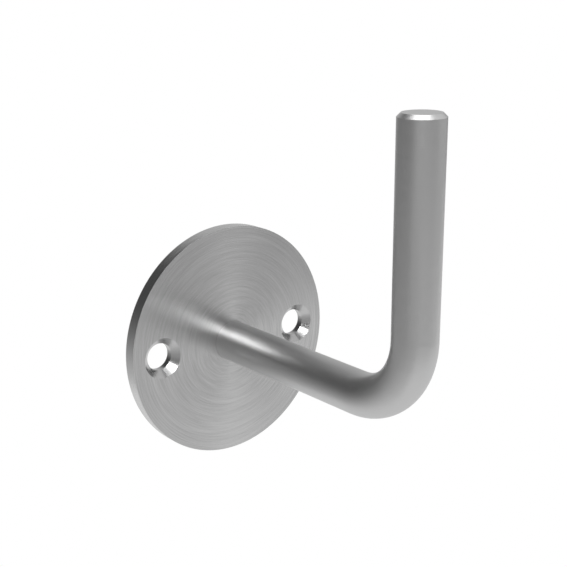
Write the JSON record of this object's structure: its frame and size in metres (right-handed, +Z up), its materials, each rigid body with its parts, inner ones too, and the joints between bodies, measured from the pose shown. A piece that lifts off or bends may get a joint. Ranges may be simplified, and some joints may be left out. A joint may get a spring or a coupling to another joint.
{
  "type": "handrail bracket",
  "caption": "Wall handrail bracket: a round plate with countersunk screw holes carries a round bar that runs straight out and bends up to a flat, chamfered tip.",
  "frame": {"origin": "centre of the plate's wall face, on the axis of the arm, half way between the screw holes", "axes": "+Y into the wall and square to it, +Z up along the upright, +X to the right as seen from the room"},
  "size_m": [0.07, 0.086, 0.1105],
  "materials": {
    "turned_plate_steel": "face and rim turned to fine concentric rings, satin, bright machined countersinks",
    "satin_bar_steel": "round bar with a fine satin grind, bright turned tip",
    "ground_weld_steel": "weld metal ground flush, dull, with faint heat tint"
  },
  "bodies": {
    "root": {"wall_plate": "turned_plate_steel", "bent_rod": "satin_bar_steel", "rear_weld": "ground_weld_steel"}
  },
  "joints": []
}
